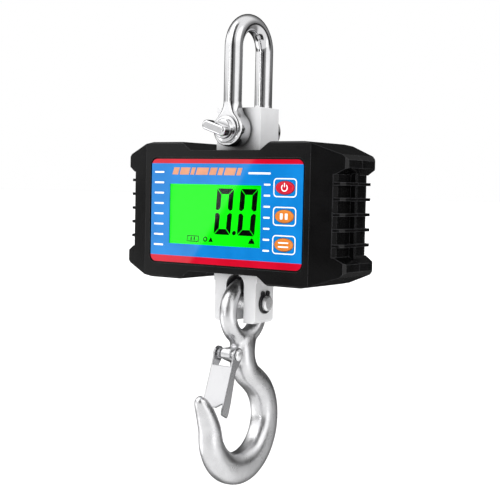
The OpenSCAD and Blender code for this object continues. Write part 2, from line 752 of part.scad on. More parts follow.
module door_gasket() {
    color([0.06, 0.06, 0.06]) translate([0, 0, cz]) difference() {
        box(-70.3, -26.3, hd - 3.1, hd - 2.7, -27.8, 27.8);
        box(-68.8, -27.8, hd - 4, hd, -26.3, 26.3);
    }
}

module door_screws() {
    color([0.6, 0.6, 0.62]) translate([0, 0, cz]) for (z = [-31, 31]) difference() {
        union() {
            cyl_y(hd - 7.5, hd - 0.1, 1, cell_xs[1], z);
            cyl_y(hd - 0.1, hd + 1.1, 2.3, cell_xs[1], z);
        }
        box(cell_xs[1] - 1.6, cell_xs[1] + 1.6, hd + 0.6, hd + 3, z - 0.35, z + 0.35);
        box(cell_xs[1] - 0.35, cell_xs[1] + 0.35, hd + 0.6, hd + 3, z - 1.6, z + 1.6);
    }
}

shackle_bow();
shackle_pin();
load_cell();
strain_gauges();
gauge_sealant();
column_seals();
front_cover();
rear_cover();
cover_gasket();
cover_screws();
column_screws();
label_sheet();
display_window();
display_glass();
display_segments();
display_backlight();
display_frame();
display_pins();
circuit_board();
board_screws();
board_chips();
wire_sockets();
key_switches();
remote_receiver();
key_power();
key_hold();
key_tare();
battery_holder();
battery_cells();
battery_contacts();
battery_leads();
load_cell_lead();
battery_door();
door_gasket();
door_screws();
cross_pin();
retaining_rings();
hook();
latch_rivet();
latch_spring();
latch();
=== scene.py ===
"""Looks for a hanging crane scale: polished shackle, charcoal casing, green display, safety hook."""
import json
import math

import bmesh
import bpy
from mathutils import Matrix, Vector


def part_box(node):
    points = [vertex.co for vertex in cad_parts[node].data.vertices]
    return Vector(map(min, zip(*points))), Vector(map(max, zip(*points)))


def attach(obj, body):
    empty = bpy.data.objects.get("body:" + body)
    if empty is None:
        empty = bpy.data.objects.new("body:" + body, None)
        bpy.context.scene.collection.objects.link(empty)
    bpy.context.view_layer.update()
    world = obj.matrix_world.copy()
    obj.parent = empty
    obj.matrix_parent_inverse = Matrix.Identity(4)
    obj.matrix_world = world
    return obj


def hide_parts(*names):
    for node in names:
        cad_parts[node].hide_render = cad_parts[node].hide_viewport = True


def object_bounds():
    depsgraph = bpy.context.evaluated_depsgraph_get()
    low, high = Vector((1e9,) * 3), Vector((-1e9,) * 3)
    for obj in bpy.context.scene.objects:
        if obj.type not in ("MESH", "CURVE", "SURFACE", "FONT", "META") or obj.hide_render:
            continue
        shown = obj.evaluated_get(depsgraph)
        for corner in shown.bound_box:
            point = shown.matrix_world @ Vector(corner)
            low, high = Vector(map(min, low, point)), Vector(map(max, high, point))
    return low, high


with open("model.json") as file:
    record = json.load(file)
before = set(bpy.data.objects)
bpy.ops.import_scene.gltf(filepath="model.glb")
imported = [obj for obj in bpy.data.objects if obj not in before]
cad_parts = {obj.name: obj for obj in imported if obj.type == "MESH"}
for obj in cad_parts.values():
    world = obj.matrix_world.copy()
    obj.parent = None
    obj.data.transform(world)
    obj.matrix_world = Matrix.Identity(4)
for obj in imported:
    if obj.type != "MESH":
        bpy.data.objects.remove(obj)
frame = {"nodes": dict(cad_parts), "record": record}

cad_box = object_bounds()

MM = 0.001
scene = bpy.context.scene
joint_at = {joint["name"]: joint.get("pos_m", [0, 0, 0]) for joint in frame["record"]["behaviour"]["joints"]}


def middle(node):
    """The middle of a CAD node's box, in millimetres."""
    lo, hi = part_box(node)
    return (lo + hi) / 2 / MM


PIN_Z = joint_at["shackle_swing"][2] / MM
PIVOT = (joint_at["latch_open"][1] / MM, joint_at["latch_open"][2] / MM)
CASE_Z = middle("front_cover").z
LABEL_LO, LABEL_HI = [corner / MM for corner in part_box("label_sheet")]
LABEL_Y = LABEL_LO.y
KEYS = {node: middle(node) for node in ("key_power", "key_hold", "key_tare")}


# ---------------------------------------------------------------- shapes

def smooth_step(lo, hi, x):
    """0 up to lo, 1 from hi, and a smooth step in between."""
    t = min(max((x - lo) / (hi - lo), 0.0), 1.0)
    return t * t * (3 - 2 * t)


def catmull_rom(p, q, r, s, t):
    """The value at t between q and r, on a smooth curve through p, q, r and s."""
    return 0.5 * (2 * q + (r - p) * t + (2 * p - 5 * q + 4 * r - s) * t * t
                  + (3 * q - p - 3 * r + s) * t ** 3)


def spline(stations, steps):
    """Rows of numbers on a smooth curve through the stations, with so many steps between two of them."""
    rows = []
    last = len(stations) - 1
    for i in range(last):
        around = [stations[min(max(i + k, 0), last)] for k in (-1, 0, 1, 2)]
        for k in range(steps):
            rows.append([catmull_rom(*values, k / steps) for values in zip(*around)])
    rows.append(list(stations[last]))
    return rows


def skin(rings, closed=False):
    """Vertices and faces of a surface through rings of points; open rows get flat ends."""
    count, size = len(rings), len(rings[0])
    verts = [tuple(p) for ring in rings for p in ring]
    faces = []
    for i in range(count if closed else count - 1):
        a, b = i * size, (i + 1) % count * size
        for j in range(size):
            k = (j + 1) % size
            faces.append((a + j, a + k, b + k, b + j))
    if not closed:
        faces.append(tuple(range(size)))
        faces.append(tuple(range((count - 1) * size, count * size)))
    return verts, faces


def rounded(a, b, radius, steps=8):
    """A rounded rectangle's points for half sizes a and b, counter-clockwise."""
    r = min(radius, a, b)
    points = []
    for quarter, (sx, sy) in enumerate(((1, 1), (-1, 1), (-1, -1), (1, -1))):
        for k in range(steps + 1):
            angle = math.radians(90 * quarter + 90 * k / steps)
            points.append((sx * (a - r) + r * math.cos(angle), sy * (b - r) + r * math.sin(angle)))
    return points


def ellipse(a, b, count=64):
    """An ellipse's points for half sizes a and b, counter-clockwise."""
    turns = [2 * math.pi * k / count for k in range(count)]
    return [(a * math.cos(turn), b * math.sin(turn)) for turn in turns]


def mirrored(side):
    """A profile for both sides of its middle, from the rows of its positive side."""
    return [(-along, radius) for along, radius in reversed(side)] + side


def lathe(profile, centre, axis, count=72):
    """Rings about an axis ("x" or "y") for a profile of (distance along the axis, radius)."""
    rings = []
    for along, radius in profile:
        circle = [(centre[0] + u, centre[1] + v) for u, v in ellipse(radius, radius, count)]
        rings.append([(along, u, v) if axis == "x" else (u, along, v) for u, v in circle])
    return rings


def torus(centre, major, minor, count=160, sides=48):
    """Rings round a torus in the YZ plane."""
    rings = []
    for y, z in ellipse(1, 1, count):
        out = Vector((0, y, z))
        rings.append([Vector((across, *centre)) + out * (major + along)
                      for along, across in ellipse(minor, minor, sides)])
    return rings


def prism_x(points, x0, x1):
    """An outline in Y and Z, drawn out from x0 to x1."""
    return skin([[(x, y, z) for y, z in points] for x in (x0, x1)])


def joined(*parts):
    """Several vertex and face lists as one."""
    verts, faces = [], []
    for part_verts, part_faces in parts:
        base = len(verts)
        verts += part_verts
        faces += [tuple(base + i for i in face) for face in part_faces]
    return verts, faces


def make(name, part):
    """A mesh object from vertices in millimetres, with its faces turned outwards."""
    verts, faces = part
    mesh = bpy.data.meshes.new(name)
    mesh.from_pydata([Vector(v) * MM for v in verts], [], faces)
    work = bmesh.new()
    work.from_mesh(mesh)
    bmesh.ops.remove_doubles(work, verts=work.verts, dist=1e-7)
    bmesh.ops.recalc_face_normals(work, faces=work.faces)
    work.to_mesh(mesh)
    work.free()
    obj = bpy.data.objects.new(name, mesh)
    scene.collection.objects.link(obj)
    return obj


def modifier(obj, kind, **settings):
    """Adds a modifier with its settings."""
    made = obj.modifiers.new(kind.title(), kind)
    for key, value in settings.items():
        setattr(made, key, value)
    return made


def settle(obj):
    """Turns an object's modifiers into its mesh."""
    bpy.context.view_layer.update()
    graph = bpy.context.evaluated_depsgraph_get()
    mesh = bpy.data.meshes.new_from_object(obj.evaluated_get(graph))
    obj.modifiers.clear()
    obj.data = mesh
    return obj


def cut(obj, *tools):
    """Takes the tools' shapes out of an object and removes the tools."""
    for tool in tools:
        modifier(obj, "BOOLEAN", operation="DIFFERENCE", solver="EXACT", object=tool)
    settle(obj)
    for tool in tools:
        bpy.data.objects.remove(tool)
    return obj


def shade(obj, angle=38, weighted=True):
    """Smooth shading, with sharp edges where faces meet at more than an angle in degrees."""
    obj.data.shade_smooth()
    obj.data.set_sharp_from_angle(angle=math.radians(angle))
    if weighted:
        modifier(obj, "WEIGHTED_NORMAL", keep_sharp=True, weight=60)
    return obj


def piece(obj, body, slot, material, *stands_for):
    """Gives an object its look and its body, and hides the CAD nodes that it stands for. Its slot is not
    used.
    """
    obj.data.materials.clear()
    obj.data.materials.append(material)
    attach(obj, body)
    if stands_for:
        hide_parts(*stands_for)
    return obj


# ---------------------------------------------------------------- materials

def srgb(r, g, b):
    """A linear colour from display values of 0 to 255."""
    def linear(c):
        c /= 255
        return c / 12.92 if c <= 0.04045 else ((c + 0.055) / 1.055) ** 2.4
    return (linear(r), linear(g), linear(b), 1)


class Tree:
    """The node tree of a material or a world, with short ways to add and link nodes."""

    def __init__(self, owner):
        owner.use_nodes = True
        self.owner = owner
        self.nodes = owner.node_tree.nodes
        self.links = owner.node_tree.links

    def add(self, kind, inputs=None, **settings):
        """A new node, with its settings and its inputs set or linked."""
        made = self.nodes.new(kind)
        for key, value in settings.items():
            setattr(made, key, value)
        for key, value in (inputs or {}).items():
            if isinstance(value, bpy.types.NodeSocket):
                self.links.new(value, made.inputs[key])
            else:
                made.inputs[key].default_value = value
        return made

    def set(self, **sockets):
        """Sets or links the sockets of a material's shader, with _ for a space in their names."""
        for key, value in sockets.items():
            socket = self.nodes["Principled BSDF"].inputs[key.replace("_", " ")]
            if isinstance(value, bpy.types.NodeSocket):
                self.links.new(value, socket)
            else:
                socket.default_value = value

    def place(self, stretch=(1, 1, 1)):
        """Object coordinates, scaled along each axis."""
        coordinates = self.add("ShaderNodeTexCoord").outputs["Object"]
        return self.add("ShaderNodeMapping", {"Vector": coordinates, "Scale": stretch}).outputs[0]

    def along(self, axis):
        """Object coordinates along one axis, "X", "Y" or "Z"."""
        coordinates = self.add("ShaderNodeTexCoord").outputs["Object"]
        return self.add("ShaderNodeSeparateXYZ", {0: coordinates}).outputs[axis]

    def noise(self, where, scale, detail=3, rough=0.5):
        """Cloudy noise, mostly between 0.3 and 0.7."""
        inputs = {"Vector": where, "Scale": scale, "Detail": detail, "Roughness": rough}
        return self.add("ShaderNodeTexNoise", inputs).outputs["Fac"]

    def between(self, value, lo, hi, to_lo=0.0, to_hi=1.0):
        """A smooth step from to_lo at lo to to_hi at hi."""
        inputs = {"Value": value, "From Min": lo, "From Max": hi, "To Min": to_lo, "To Max": to_hi}
        return self.add("ShaderNodeMapRange", inputs, interpolation_type="SMOOTHSTEP").outputs[0]

    def math(self, operation, a, b):
        """The result of a sum, product or other operation on two values."""
        return self.add("ShaderNodeMath", {0: a, 1: b}, operation=operation).outputs[0]

    def mix(self, factor, a, b):
        """A colour from a, where the factor is 0, to b, where it is 1."""
        return self.add("ShaderNodeMix", {0: factor, 6: a, 7: b}, data_type="RGBA").outputs[2]

    def bump(self, height, strength, depth, normal=None):
        """A normal that is tilted by a height, on top of another normal where one is given."""
        inputs = {"Height": height, "Strength": strength, "Distance": depth * MM}
        if normal is not None:
            inputs["Normal"] = normal
        return self.add("ShaderNodeBump", inputs).outputs[0]

    def edges(self, radius):
        """1 along outer and inner edges, 0 on flats."""
        bevel = self.add("ShaderNodeBevel", {"Radius": radius * MM}, samples=4).outputs[0]
        flat = self.add("ShaderNodeNewGeometry").outputs["Normal"]
        dot = self.add("ShaderNodeVectorMath", {0: bevel, 1: flat}, operation="DOT_PRODUCT").outputs["Value"]
        return self.between(dot, 0.9992, 0.984)


def new_tree(name):
    """The node tree of a new material."""
    return Tree(bpy.data.materials.new(name))


def finish_of(name, dark, light, rough, metal=0.0, tone=60, grain=(2500, 0.25, 0.03), stretch=(1, 1, 1),
              mottle=None, edge_wear_and_light=None, painted_recess_shade=None, **constants):
    """A finish with cloudy tone, uneven gloss and a fine grain.

    grain and mottle are (scale, strength, depth) of a bump. The edge marks are (radius, colour, roughness) of
    edges in another colour, partly rubbed wear and partly painted edge light: a painted highlight where the
    colour is lighter, a painted shade line where it is darker. The recess shade is (reach, darkest, lightest,
    colour) of painted shade where little of the sky is seen.
    """
    tree = new_tree(name)
    cloud = tree.noise(tree.place(), tone, 4, 0.6)
    grain_scale, grain_strength, grain_depth = grain
    fine = tree.noise(tree.place(stretch), grain_scale, 3, 0.6)
    colour = tree.mix(tree.between(cloud, 0.3, 0.7), dark, light)
    unevenness = tree.math("ADD", tree.math("MULTIPLY", cloud, 0.5), tree.math("MULTIPLY", fine, 0.5))
    gloss = tree.between(unevenness, 0.3, 0.7, rough[0], rough[1])
    normal = tree.bump(fine, grain_strength, grain_depth)
    if mottle:
        mottle_scale, mottle_strength, mottle_depth = mottle
        dents = tree.noise(tree.place(), mottle_scale, 2, 0.5)
        normal = tree.bump(dents, mottle_strength, mottle_depth, normal)
    # Edges take another colour in patches: rubbed wear, and painted light along the edges, lighter as a
    # highlight and darker as a shade line.
    if edge_wear_and_light:
        edge_mark_radius, edge_wear_and_light_colour, edge_mark_rough = edge_wear_and_light
        patches = tree.between(tree.noise(tree.place(), 420, 3), 0.2, 0.45)
        mask = tree.math("MULTIPLY", tree.edges(edge_mark_radius), patches)
        colour = tree.mix(mask, colour, edge_wear_and_light_colour)
        gloss = tree.add("ShaderNodeMix", {0: mask, 2: gloss, 3: edge_mark_rough}).outputs[0]
    # Painted shade: the colour darkens towards a dark one where the AO node sees little sky, in creases and
    # gaps between parts.
    if painted_recess_shade:
        reach, darkest, lightest, recess_shade_colour = painted_recess_shade
        sky = tree.add("ShaderNodeAmbientOcclusion", {"Distance": reach * MM}, samples=12).outputs["AO"]
        colour = tree.mix(tree.between(sky, darkest, lightest), recess_shade_colour, colour)
    tree.set(Base_Color=colour, Roughness=gloss, Normal=normal, Metallic=metal, **constants)
    return tree.owner


PANEL_GREEN = (0.002, 0.6, 0.002, 1)


def glow(name, dim, lit, strength, lit_until, dim_from):
    """A green panel with an even light of its own, a little dimmer on its far side."""
    tree = new_tree(name)
    # A little noise keeps the way from lit to dim from being straight.
    shift = tree.math("ADD", tree.along("X"), tree.math("MULTIPLY", tree.noise(tree.place(), 90, 2), 0.01))
    colour = tree.mix(tree.between(shift, lit_until, dim_from), lit, dim)
    tree.set(Base_Color=PANEL_GREEN, Roughness=0.3, Emission_Color=colour, Emission_Strength=strength,
             Specular_IOR_Level=0.0)
    return tree.owner


TOP_BAND, FOOT_BAND = 3.2, 4.9
BAND_EDGE = 0.12


def label_print():
    """Blue field between two red bands, printed on the back of a glossy film."""
    tree = new_tree("label_film")
    height = tree.along("Z")
    top, foot = LABEL_HI.z - TOP_BAND, LABEL_LO.z + FOOT_BAND
    upper = tree.between(height, (top - BAND_EDGE) * MM, (top + BAND_EDGE) * MM)
    lower = tree.between(height, (foot + BAND_EDGE) * MM, (foot - BAND_EDGE) * MM)
    cloud = tree.noise(tree.place(), 40, 3)
    ink = tree.noise(tree.place(), 3200, 2)
    blue = tree.mix(tree.between(cloud, 0.3, 0.7), srgb(12, 114, 188), srgb(18, 124, 200))
    red = tree.mix(tree.between(cloud, 0.3, 0.7), srgb(188, 8, 36), srgb(198, 14, 44))
    colour = tree.mix(tree.math("MAXIMUM", upper, lower), blue, red)
    colour = tree.mix(tree.between(ink, 0.2, 0.8, 0.0, 0.06), colour, (0, 0, 0, 1))
    gloss = tree.between(cloud, 0.3, 0.7, 0.3, 0.36)
    tree.set(Base_Color=colour, Roughness=gloss, Normal=tree.bump(ink, 0.05, 0.01), Coat_Weight=1.0,
             Coat_Roughness=0.012, Coat_IOR=1.55, Specular_IOR_Level=0.0)
    return tree.owner


def clear_plastic():
    """A clear window with a trace of haze."""
    tree = new_tree("clear_window")
    haze = tree.noise(tree.place(), 120, 3)
    tree.set(Base_Color=(0.97, 1, 0.98, 1), Roughness=tree.between(haze, 0.3, 0.7, 0.0, 0.004),
             Transmission_Weight=1.0, IOR=1.34)
    return tree.owner


# The charcoal plastic's lighter edges are a painted highlight along the edges, partly rubbed wear.
PLASTIC = finish_of("charcoal_plastic", (0.002, 0.002, 0.0021, 1), (0.003, 0.003, 0.0032, 1), (0.16, 0.22),
                    tone=35, grain=(3000, 0.12, 0.03), edge_wear_and_light=(0.5, (0.032, 0.032, 0.034, 1), 0.22),
                    Specular_IOR_Level=0.27)
# The polished steel darkens in creases, round the pin's collar and the shackle's eyes: painted shade.
POLISHED = finish_of("polished_steel", (0.60, 0.60, 0.61, 1), (0.68, 0.68, 0.69, 1), (0.09, 0.16), 1.0,
                     tone=45, grain=(900, 0.05, 0.02), stretch=(1, 1, 4),
                     painted_recess_shade=(5, 0.3, 0.8, (0.08, 0.08, 0.08, 1)))
FORGED = finish_of("zinc_forging", (0.63, 0.63, 0.64, 1), (0.72, 0.72, 0.73, 1), (0.26, 0.34), 1.0, tone=90,
                   grain=(900, 0.9, 0.16), stretch=(1, 1, 0.6))
# The zinc sheet's darker edges are a painted shade line along them.
SHEET = finish_of("zinc_sheet", (0.50, 0.50, 0.51, 1), (0.545, 0.545, 0.555, 1), (0.24, 0.32), 1.0, tone=40,
                  grain=(1800, 0.12, 0.02), stretch=(6, 1, 1), edge_wear_and_light=(1.1, (0.16, 0.16, 0.165, 1), 0.35))
# The alloy's white edges are a painted highlight, partly rubbed wear, and it darkens in the slot and beside
# the shackle's eye: painted shade.
COLUMN = finish_of("blasted_alloy", (0.72, 0.72, 0.73, 1), (0.78, 0.78, 0.79, 1), (0.38, 0.5), 0.2, tone=50,
                   grain=(3500, 0.35, 0.04), edge_wear_and_light=(0.3, (0.93, 0.93, 0.93, 1), 0.3),
                   painted_recess_shade=(13, 0.2, 0.75, (0.06, 0.06, 0.06, 1)))
PLATED = finish_of("plated_pin", (0.74, 0.74, 0.75, 1), (0.84, 0.84, 0.85, 1), (0.2, 0.32), 0.7, tone=80,
                   grain=(1600, 0.12, 0.02))
OXIDE = finish_of("black_oxide", (0.012, 0.012, 0.013, 1), (0.03, 0.03, 0.032, 1), (0.3, 0.45), 0.6, tone=200,
                  grain=(2600, 0.2, 0.02), edge_wear_and_light=(0.2, (0.2, 0.2, 0.21, 1), 0.3))
RUBBER = finish_of("black_rubber", (0.008, 0.008, 0.008, 1), (0.016, 0.016, 0.016, 1), (0.6, 0.75), tone=80,
                   grain=(2800, 0.3, 0.05))
SCREW = finish_of("screw_steel", (0.42, 0.42, 0.44, 1), (0.58, 0.58, 0.6, 1), (0.22, 0.34), 1.0, tone=200,
                  grain=(2400, 0.15, 0.02), edge_wear_and_light=(0.2, (0.8, 0.8, 0.8, 1), 0.2))
LABEL = label_print()
WHITE_INK = finish_of("white_ink", (0.84, 0.85, 0.86, 1), (0.9, 0.91, 0.92, 1), (0.3, 0.4), tone=120,
                      grain=(3000, 0.05, 0.01), Coat_Weight=1.0, Coat_Roughness=0.02)
ORANGE_INK = finish_of("orange_ink", srgb(196, 128, 92), srgb(208, 142, 104), (0.3, 0.4), tone=120,
                       grain=(3000, 0.05, 0.01), Coat_Weight=1.0, Coat_Roughness=0.02)
WINDOW = clear_plastic()
GREEN = glow("display_green", (0.0, 0.62, 0.002, 1), (0.006, 0.85, 0.006, 1), 1.0, 0.008, 0.036)
BACKLIGHT = glow("backlight_green", (0.05, 0.7, 0.06, 1), (0.08, 0.9, 0.1, 1), 0.6, 0.0, 0.04)
LCD_BLACK = finish_of("display_black", (0.002, 0.003, 0.002, 1), (0.004, 0.006, 0.004, 1), (0.4, 0.5),
                      tone=300, grain=(3000, 0.05, 0.01), Specular_IOR_Level=0.0)
WHITE_PLASTIC = finish_of("white_plastic", (0.72, 0.72, 0.70, 1), (0.8, 0.8, 0.78, 1), (0.4, 0.5), tone=60)
TINNED = finish_of("tinned_metal", (0.6, 0.6, 0.6, 1), (0.75, 0.75, 0.75, 1), (0.2, 0.35), 1.0, tone=300)
BOARD = finish_of("board_green", (0.010, 0.11, 0.045, 1), (0.016, 0.16, 0.07, 1), (0.3, 0.42), tone=220,
                  grain=(1500, 0.2, 0.04), Coat_Weight=0.5, Coat_Roughness=0.1)
CHIP = finish_of("chip_black", (0.012, 0.012, 0.013, 1), (0.022, 0.022, 0.024, 1), (0.5, 0.62), tone=400)
IVORY = finish_of("socket_ivory", (0.70, 0.66, 0.54, 1), (0.78, 0.74, 0.62, 1), (0.4, 0.5), tone=200)
RECEIVER = finish_of("receiver_blue", (0.02, 0.07, 0.24, 1), (0.03, 0.1, 0.3, 1), (0.35, 0.45), tone=300)
KEY_GLOSS = {"Coat_Weight": 0.3, "Coat_Roughness": 0.04, "Specular_IOR_Level": 0.12}
KEY_RED = finish_of("key_red", srgb(184, 4, 34), srgb(196, 8, 40), (0.32, 0.4), tone=150,
                    grain=(2600, 0.08, 0.02), **KEY_GLOSS)
KEY_ORANGE = finish_of("key_orange", srgb(198, 110, 24), srgb(208, 120, 34), (0.32, 0.4), tone=150,
                       grain=(2600, 0.08, 0.02), **KEY_GLOSS)
GAUGE = finish_of("gauge_film", (0.62, 0.36, 0.1, 1), (0.75, 0.46, 0.16, 1), (0.3, 0.4), tone=900)
SEALANT = finish_of("sealant", (0.6, 0.6, 0.58, 1), (0.7, 0.7, 0.68, 1), (0.35, 0.55), tone=200,
                    mottle=(400, 0.4, 0.2))
WRAP = finish_of("cell_wrap", (0.03, 0.2, 0.09, 1), (0.05, 0.26, 0.12, 1), (0.2, 0.3), tone=80,
                 grain=(900, 0.08, 0.02), Coat_Weight=0.6, Coat_Roughness=0.05)
JACKET = finish_of("wire_jacket", (0.02, 0.02, 0.02, 1), (0.035, 0.035, 0.035, 1), (0.4, 0.55), tone=300)

NODE_LOOKS = {
    "load_cell": COLUMN, "strain_gauges": GAUGE, "gauge_sealant": SEALANT, "column_seals": RUBBER,
    "front_cover": PLASTIC, "rear_cover": PLASTIC, "cover_gasket": RUBBER, "cover_screws": SCREW,
    "column_screws": SCREW, "label_sheet": LABEL, "display_window": WINDOW, "display_glass": GREEN,
    "display_segments": LCD_BLACK, "display_backlight": BACKLIGHT, "display_frame": WHITE_PLASTIC,
    "display_pins": TINNED, "circuit_board": BOARD, "board_screws": SCREW, "board_chips": CHIP,
    "wire_sockets": IVORY, "key_switches": CHIP, "remote_receiver": RECEIVER, "key_power": KEY_RED,
    "key_hold": KEY_ORANGE, "key_tare": KEY_ORANGE, "battery_holder": CHIP, "battery_cells": WRAP,
    "battery_contacts": TINNED, "battery_leads": JACKET, "load_cell_lead": JACKET, "battery_door": PLASTIC,
    "door_gasket": RUBBER, "door_screws": SCREW, "cross_pin": PLATED, "retaining_rings": OXIDE,
    "hook": FORGED, "latch_rivet": PLATED, "latch_spring": SCREW, "latch": SHEET, "shackle_bow": POLISHED,
    "shackle_pin": POLISHED}
for name, look in NODE_LOOKS.items():
    for material_slot in frame["nodes"][name].material_slots:
        material_slot.material = look

# Edges of the moulded, cut and pressed parts are broken by a small radius. On the covers an edge counts from
# a flatter angle, because their bevelled sides meet at one.
EDGE_RADII = {"front_cover": 0.9, "rear_cover": 0.9, "battery_door": 0.4, "load_cell": 0.35, "latch": 0.35,
              "column_seals": 0.4, "cross_pin": 0.25, "retaining_rings": 0.15, "cover_screws": 0.2,
              "column_screws": 0.2, "door_screws": 0.15, "display_window": 0.15}
for name, radius in EDGE_RADII.items():
    node = frame["nodes"][name]
    edge_angle = 16 if name in ("front_cover", "rear_cover") else 32
    modifier(node, "WELD", merge_threshold=1e-6)
    modifier(node, "DECIMATE", decimate_type="DISSOLVE", angle_limit=math.radians(0.5))
    modifier(node, "BEVEL", width=radius * MM, segments=3, limit_method="ANGLE",
             angle_limit=math.radians(edge_angle), use_clamp_overlap=True, harden_normals=False)
    modifier(node, "WEIGHTED_NORMAL", keep_sharp=False, weight=70)


# ---------------------------------------------------------------- shackle

# Radii of the bar and of its eyes, half the depth of an eye and the rounding of its rim. The neck starts at
# NECK above the pin, narrows to the bar's width over NECK_LENGTH and is round from NECK_END on.
BAR, EYE = 6.5, 12.5
EYE_HALF, RIM = 7.2, 2.8
NECK, NECK_LENGTH, NECK_END = 9, 7, 19
BOW_LO, BOW_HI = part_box("shackle_bow")
LEG_Y = (BOW_HI.y - BOW_LO.y) / 2 / MM - EYE_HALF
ARC_Z = -LEG_Y + BAR


def leg_section(rise):
    """Half width, half depth and corner radius of a leg at a height above the pin."""
    if rise < NECK:
        half = math.sqrt(max(EYE ** 2 - rise ** 2, 0.02))
    else:
        # A cubic curve that leaves the eye along its circle and meets the bar upright.
        t = min((rise - NECK) / NECK_LENGTH, 1)
        start = math.sqrt(EYE ** 2 - NECK ** 2)
        slope = -NECK / start * NECK_LENGTH
        half = ((2 * t ** 3 - 3 * t ** 2 + 1) * start + (t ** 3 - 2 * t ** 2 + t) * slope
                + (3 * t ** 2 - 2 * t ** 3) * BAR)
    blend = smooth_step(NECK, NECK_END, rise)
    depth = min(EYE + rise, RIM)
    round_off = RIM - math.sqrt(RIM ** 2 - (RIM - depth) ** 2)
    return half, EYE_HALF - round_off + (BAR - EYE_HALF) * blend, RIM + (BAR - RIM) * blend


def bow_rings():
    """Rings up the front leg, over the crown and down the rear leg."""
    # Close together round the eye and the neck, and far apart up the straight leg.
    heights = [-EYE * math.cos(math.radians(a)) for a in range(0, 84, 4)]
    heights += [*range(-1, 23), 26, 32, 40, 48]
    leg = []
    for rise in heights:
        a, b, r = leg_section(rise)
        leg.append([(x, y, PIN_Z + rise) for x, y in rounded(a, b, r)])
    rings = [[(x, -LEG_Y + y, z) for x, y, z in ring] for ring in leg]
    for angle in [math.radians(180 - 3 * k) for k in range(61)]:
        rings.append([(x, (LEG_Y - y) * math.cos(angle), ARC_Z + (LEG_Y - y) * math.sin(angle))
                      for x, y in rounded(BAR, BAR, BAR)])
    rings += [[(x, LEG_Y - y, z) for x, y, z in ring] for ring in reversed(leg)]
    return rings


# The pin's bore is chamfered at both sides of each eye, and clear of both between the legs.
BORE_PROFILE = [(-30, 7.6), (-26.4, 7.0), (-25.7, 6.06), (-12.6, 6.06), (-12, 6.6), (0, 6.6), (12, 6.6),
                (12.6, 6.06), (25.7, 6.06), (26.4, 7.0), (30, 7.6)]
bow = make("shackle_bow_forged", skin(bow_rings()))
cut(bow, make("bore", skin(lathe(BORE_PROFILE, (0, PIN_Z), "y"))))
piece(shade(bow), "shackle", "polished_steel", POLISHED, "shackle_bow")

# The pin from its rear end to its front: rod, collar with rounded edges, and the boss that carries the tab.
PIN_PROFILE = [(27.3, 0.4), (27.4, 4.6), (27.2, 5.3), (26.6, 5.85), (26.2, 6.0), (-26.4, 6.0), (-26.5, 6.4),
               (-26.5, 8.7), (-26.65, 9.05), (-27, 9.2), (-27.7, 9.2), (-28.05, 9.05), (-28.2, 8.7),
               (-28.2, 8.0), (-28.35, 7.6), (-28.8, 7.4), (-30.4, 7.0), (-31.2, 6.6), (-31.6, 5.8),
               (-31.7, 0.4)]
# The finger tab's stations are y, half width and half thickness.
TAB_STATIONS = [(-29, 5.6, 3.2), (-31.2, 6.1, 3.2), (-32.6, 7.9, 3.3), (-34.2, 9.7, 3.5), (-36, 10.25, 3.5),
                (-40, 10.25, 3.5), (-41.5, 9.95, 3.3), (-42.2, 9.3, 2.8), (-42.46, 8.4, 2.1)]
TAB_TILT, TAB_ROUND = 18, 3.1
tilt = Matrix.Rotation(math.radians(TAB_TILT), 3, "Y")
tab_rings = [[tilt @ Vector((x, y, z)) + Vector((0, 0, PIN_Z)) for x, z in rounded(a, b, TAB_ROUND)]
             for y, a, b in spline(TAB_STATIONS, 4)]
pin = make("shackle_pin_turned", joined(skin(lathe(PIN_PROFILE, (0, PIN_Z), "y")), skin(tab_rings)))
piece(shade(pin), "shackle", "polished_steel", POLISHED, "shackle_pin")


# ---------------------------------------------------------------- hook

BOWL_Y, BOWL_Z, BOWL_RADIUS = -4.2, CASE_Z - 154.3, 34.2


def on_bowl(angle, *section):
    """A station on the bowl's circle, at an angle in degrees above its rear side."""
    a = math.radians(angle)
    return [BOWL_Y + BOWL_RADIUS * math.cos(a), BOWL_Z + BOWL_RADIUS * math.sin(a), *section]


def at(y, drop, *section):
    """A station at y and so far below the middle of the casing."""
    return [y, CASE_Z - drop, *section]


# Down the shank, round the bowl and up to the tip. A section is half width, half thickness and a power, of 1
# for an ellipse and less for a squarer outline.
HOOK_STATIONS = [
    at(0, 91.5, 7.4, 11, 1), at(-0.4, 96, 8.4, 10, 0.9), at(-0.6, 103, 8.8, 8.9, 0.85),
    at(0.6, 111, 9, 9, 0.8), at(5.4, 119, 9, 9.2, 0.75),
    on_bowl(58, 9, 9.3, 0.7), on_bowl(40, 9, 9.5, 0.7), on_bowl(20, 9, 9.6, 0.7), on_bowl(0, 9, 9.7, 0.7),
    on_bowl(-22, 9, 10.3, 0.7), on_bowl(-45, 9, 11.1, 0.7), on_bowl(-68, 9, 11.7, 0.7),
    on_bowl(-90, 9, 11.8, 0.72), on_bowl(-112, 8.8, 11.3, 0.76), on_bowl(-135, 8.5, 10.4, 0.82),
    on_bowl(-158, 8.2, 9.4, 0.9), on_bowl(-178, 7.9, 8.6, 1),
    at(-41, 148.5, 7.4, 7.8, 1), at(-44.6, 141, 6.6, 6.7, 1), at(-48.4, 135, 5.4, 5.4, 1),
    at(-51.2, 131.6, 3.9, 3.8, 1), at(-52.8, 129.9, 1.8, 1.8, 1)]


def bent(value, power):
    """A power of a value's size, with the value's sign."""
    return math.copysign(abs(value) ** power, value)


